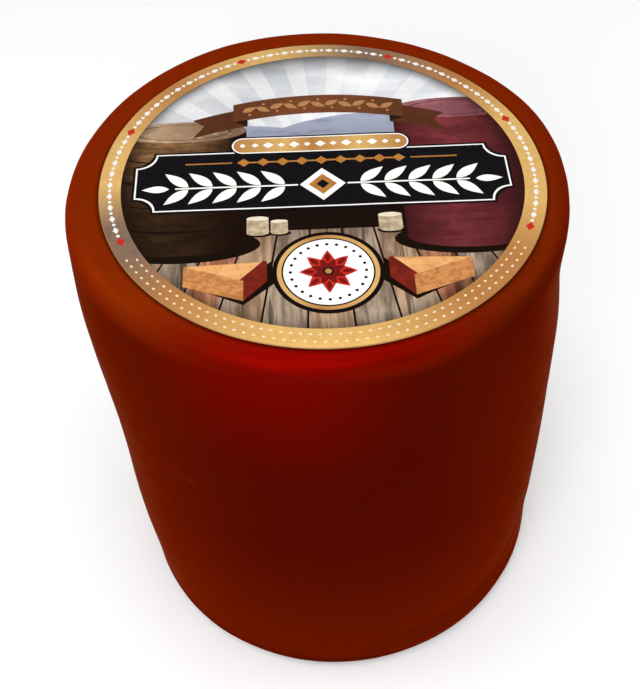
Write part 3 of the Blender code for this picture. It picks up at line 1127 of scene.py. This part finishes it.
class CHEDDAR_OT_label_plaque(bpy.types.Operator):
    """Makes the black plaque with its leaf garland, and the gold bar on its upper edge"""

    bl_idname = "cheddar.label_plaque"
    bl_label = "Label Plaque"

    def execute(self, context):
        label = context.scene.cheddar_label
        black, cream, tan = (plain_ink(label, name) for name in ("black", "cream", "tan"))
        printed("plaque", black, ("frame", [scooped(0)]), ("ground", [scooped(-0.00105)]))
        printed("plaque_line", cream, ("line", [scooped(-0.00062)]))
        self.make_garland(cream)
        self.make_gems(tan, black)
        self.make_bar(black, cream, gold_bar_ink(label))
        return {"FINISHED"}

    def make_garland(self, cream):
        """Leaves in pairs along two stems, a single leaf at each end, and a diamond between."""
        places = []
        spacing, lean, first = 0.0061, 41, 0.0096
        for side, base in ((1, 0), (-1, 180)):
            for index in range(5):
                x = side * (first + index * spacing)
                places.append((x, GARLAND_Y + 0.0005, base + side * lean, 1.0))
                places.append((x, GARLAND_Y - 0.0005, base - side * lean, 1.0))
            places.append((side * (first + 5 * spacing - 0.0012), GARLAND_Y, base, 0.85))
        leaves = copies(flat_leaf(0.0080, 0.0029), places)
        stems = [flat_bar(0.0155, 0.00026, (side * 0.0218, GARLAND_Y)) for side in (1, -1)]
        diamond = flat_diamond(0.0058, 0.0060, (0, GARLAND_Y))
        printed("garland", cream, ("marks", leaves + stems + [diamond]))

    def make_gems(self, tan, black):
        """A tan row of diamonds joined by short bars, and the tan heart of the garland's diamond."""
        spacing = 0.0050
        row = [index * spacing for index in range(-4, 5)]
        gems = copies(flat_diamond(0.0017, 0.0015), [(x, GEMS_Y, 0, 1.0) for x in row])
        gems += copies(flat_bar(0.0010, 0.00028), [(x + spacing / 2, GEMS_Y, 0, 1.0) for x in row[:-1]])
        gems += [flat_bar(0.0060, 0.00024, (side * 0.0290, GEMS_Y)) for side in (1, -1)]
        gems.append(flat_diamond(0.0036, 0.0038, (0, GARLAND_Y)))
        printed("gems", tan, ("over marks", gems))
        printed("gem_heart", black, ("fine", [flat_diamond(0.0016, 0.0017, (0, GARLAND_Y))]))

    def make_bar(self, black, cream, gold):
        """The gold bar with round ends, its cream line and its beads."""
        middle = (0, BAR_Y)
        printed("bar_edge", black, ("marks", [flat_pill(0.0236, 0.0036, middle)]))
        line = flat_pill(0.0231, 0.0031, middle)
        printed("gold_bar", gold, ("fine", [flat_pill(0.0227, 0.0027, middle)]))
        beads = [(index * 0.0034, BAR_Y, 0, 1.0 if index % 2 else 1.5) for index in range(-5, 6)]
        marks = copies(flat_diamond(0.00095, 0.00080), beads)
        marks += copies(flat_disc(0.00065, segments=20), [(side * 0.0203, BAR_Y, 0, 1.0) for side in (1, -1)])
        printed("bar_line", cream, ("over marks", [line]), ("over fine", marks))


class CHEDDAR_OT_label_ribbon(bpy.types.Operator):
    """Makes the bowed brown ribbon across the sky, with its folded tails and its tan leaves"""

    bl_idname = "cheddar.label_ribbon"
    bl_label = "Label Ribbon"

    def execute(self, context):
        low, high = RIBBON_Y - RIBBON_HALF_HEIGHT, RIBBON_Y + RIBBON_HALF_HEIGHT
        tail_in, tail_out, drop, notch = RIBBON_HALF_WIDTH - 0.0038, 0.0335, 0.0026, 0.0030
        tail = (
            (tail_in, low - drop), (tail_out, low - drop), (tail_out - notch, RIBBON_Y - drop),
            (tail_out, high - drop), (tail_in, high - drop)
        )
        fold = ((tail_in, low - drop), (RIBBON_HALF_WIDTH, low), (tail_in, low))
        tails, folds = (
            [bowed(mirrored(flat_outline(line), side), RIBBON_RISE, RIBBON_HALF_WIDTH) for side in (1, -1)]
            for line in (tail, fold)
        )
        band = flat_bar(RIBBON_HALF_WIDTH, RIBBON_HALF_HEIGHT, (0, RIBBON_Y))
        tail_brown = ink("tail_ink", (0.085, 0.025, 0.009), (0.052, 0.015, 0.006), 300.0, 0.5)
        printed("ribbon_tails", tail_brown, ("frame", tails))
        printed("ribbon_folds", ink("fold_ink", (0.016, 0.007, 0.004)), ("line", folds))
        brown = ink("ribbon_ink", (0.15, 0.056, 0.022), scale=300.0, tone=0.2, painted=ribbon_paint)
        printed("ribbon", brown, ("ground", [bowed(band, RIBBON_RISE, RIBBON_HALF_WIDTH)]))
        self.make_leaves()
        return {"FINISHED"}

    def make_leaves(self):
        """A wavy sprig of leaves and berries along the ribbon."""
        leaves, berries, spacing, lean = [], [], 0.0037, 28
        for index in range(-5, 6):
            x = index * spacing
            y = RIBBON_Y + RIBBON_RISE * (1 - (x / RIBBON_HALF_WIDTH) ** 2)
            up = 1 if index % 2 else -1
            leaves.append((x - 0.0018, y - up * 0.0006, up * lean, 1.0))
            berries.append((x + 0.0001, y - up * 0.0018, 0, 1.0))
        marks = copies(flat_leaf(0.0042, 0.0019), leaves) + copies(flat_disc(0.00042, segments=12), berries)
        light = ink("ribbon_leaf_ink", (0.40, 0.185, 0.075), scale=400.0, tone=0.4)
        printed("ribbon_marks", light, ("marks", marks))


class CHEDDAR_OT_label_badge(bpy.types.Operator):
    """Makes the round white badge with its red rosette, below the plaque"""

    bl_idname = "cheddar.label_badge"
    bl_label = "Label Badge"

    def execute(self, context):
        label = context.scene.cheddar_label
        white = ink("badge_white_ink", (0.84, 0.83, 0.81), scale=120.0, tone=0.15)
        black, gold = plain_ink(label, "black"), gold_bar_ink(label)
        for name, radius, level, material in (
            ("shade", 0.0133, "goods marks", bpy.data.materials["gap_ink"]),
            ("rim", 0.0128, "frame", black),
            ("band", 0.0122, "line", gold),
            ("line", 0.0111, "ground", black),
            ("face", 0.0107, "marks", white)
        ):
            printed("badge_" + name, material, (level, [flat_disc(radius, BADGE_MIDDLE)]))
        turns = range(0, 360, 45)
        outer = copies(flat_leaf(0.0070, 0.0034), [(*BADGE_MIDDLE, turn, 1.0) for turn in turns])
        printed("badge_rosette", plain_ink(label, "red"), ("over marks", outer))
        inner = copies(flat_leaf(0.0044, 0.0020), [(*BADGE_MIDDLE, turn + 22.5, 1.0) for turn in turns])
        inner += copies(flat_leaf(0.0030, 0.0013), [on_ring(0.0032, turn, BADGE_MIDDLE) for turn in turns])
        printed("badge_petals", ink("deep_red_ink", toned(label.red, 0.30)), ("fine", inner))
        spots = [on_ring(0.0090, turn, BADGE_MIDDLE) for turn in range(0, 360, 15)]
        dots = copies(flat_disc(0.00042, segments=12), spots)
        heart = flat_disc(0.0013, BADGE_MIDDLE, segments=20)
        printed("badge_dots", black, ("over marks", dots), ("over fine", [heart]))
        printed("badge_heart", gold, ("top", [flat_disc(0.0008, BADGE_MIDDLE, segments=16)]))
        return {"FINISHED"}


class CHEDDAR_OT_studio(bpy.types.Operator):
    """Makes the pale floor, the soft lights and the camera"""

    bl_idname = "cheddar.studio"
    bl_label = "Studio"

    def execute(self, context):
        studio = context.scene.cheddar_studio
        self.make_floor(studio)
        self.make_lights(context.scene, studio)
        self.make_camera(context.scene, studio)
        context.scene.view_settings.view_transform = "Standard"
        return {"FINISHED"}

    def make_floor(self, studio):
        material, shader = principled("pale_floor", Roughness=0.7, Specular_IOR_Level=0.2)
        mix = Mixer(material.node_tree)
        cloud = mix.spread(mix.grain(8.0), 0.3, 0.7)
        pale = mix.blend(cloud, studio.floor_colour, toned(studio.floor_colour, 0.98))
        mix.feed(shader, {"Base Color": pale})
        add_object("floor", flat_disc(FLOOR_RADIUS, segments=96), material)

    def make_lights(self, scene, studio):
        powers = (studio.top_light, studio.front_light, studio.left_light, studio.right_light)
        for (name, place, size), power in zip((OVERHEAD, FRONT, LEFT, RIGHT), powers):
            light = bpy.data.lights.new(name, "AREA")
            light.shape = "ELLIPSE" if name == FRONT[0] else "DISK"
            light.size = size
            light.size_y = FRONT_DEPTH
            light.energy = power
            self.place(scene, light, place, Vector(LIGHT_AIM) - Vector(place))
        world = bpy.data.worlds.new("studio_air")
        world.use_nodes = True
        air = world.node_tree.nodes["Background"]
        air.inputs["Color"].default_value = (1.0, 1.0, 1.0, 1.0)
        air.inputs["Strength"].default_value = studio.sky_light
        scene.world = world

    def make_camera(self, scene, studio):
        lens = bpy.data.cameras.new("photo_camera")
        lens.lens = studio.lens
        lens.sensor_width = SENSOR_WIDTH
        look = Vector((
            -math.sin(studio.side) * math.cos(studio.rise), math.cos(studio.side) * math.cos(studio.rise),
            -math.sin(studio.rise)
        ))
        spot = Vector(studio.aim) - look * studio.distance
        scene.camera = self.place(scene, lens, spot, look, studio.roll)

    def place(self, scene, thing, spot, look, roll=0.0):
        """Puts a light or a camera in the scene, and turns it to look along a direction."""
        made = bpy.data.objects.new(thing.name, thing)
        made.location = spot
        made.rotation_mode = "QUATERNION"
        made.rotation_quaternion = look.to_track_quat("-Z", "Y") @ Quaternion((0, 0, 1), roll)
        scene.collection.objects.link(made)
        return made


STEPS = (
    "wax_coat", "label_paper", "label_border", "label_picture", "label_plaque", "label_ribbon", "label_badge",
    "studio"
)
SETTINGS = {"cheddar_wax": WaxSettings, "cheddar_label": LabelSettings, "cheddar_studio": StudioSettings}


class CHEDDAR_PT_panel(bpy.types.Panel):
    """Lists the steps and the sizes and colours that they use"""

    bl_idname = "CHEDDAR_PT_panel"
    bl_label = "Waxed Cheddar Wheel"
    bl_space_type = "VIEW_3D"
    bl_region_type = "UI"
    bl_category = "Cheddar"

    def draw(self, context):
        for step in STEPS:
            self.layout.operator("cheddar." + step)
        for group in SETTINGS:
            settings = getattr(context.scene, group)
            box = self.layout.box()
            for name in settings.__annotations__:
                box.prop(settings, name)


CLASSES = (
    *SETTINGS.values(), CHEDDAR_OT_wax_coat, CHEDDAR_OT_label_paper, CHEDDAR_OT_label_border,
    CHEDDAR_OT_label_picture, CHEDDAR_OT_label_plaque, CHEDDAR_OT_label_ribbon, CHEDDAR_OT_label_badge,
    CHEDDAR_OT_studio, CHEDDAR_PT_panel
)


def register():
    for kind in CLASSES:
        bpy.utils.register_class(kind)
    for name, kind in SETTINGS.items():
        setattr(bpy.types.Scene, name, bpy.props.PointerProperty(type=kind))


def unregister():
    for name in SETTINGS:
        delattr(bpy.types.Scene, name)
    for kind in reversed(CLASSES):
        bpy.utils.unregister_class(kind)


def main():
    register()
    for step in STEPS:
        getattr(bpy.ops.cheddar, step)()


if __name__ == "__main__":
    main()
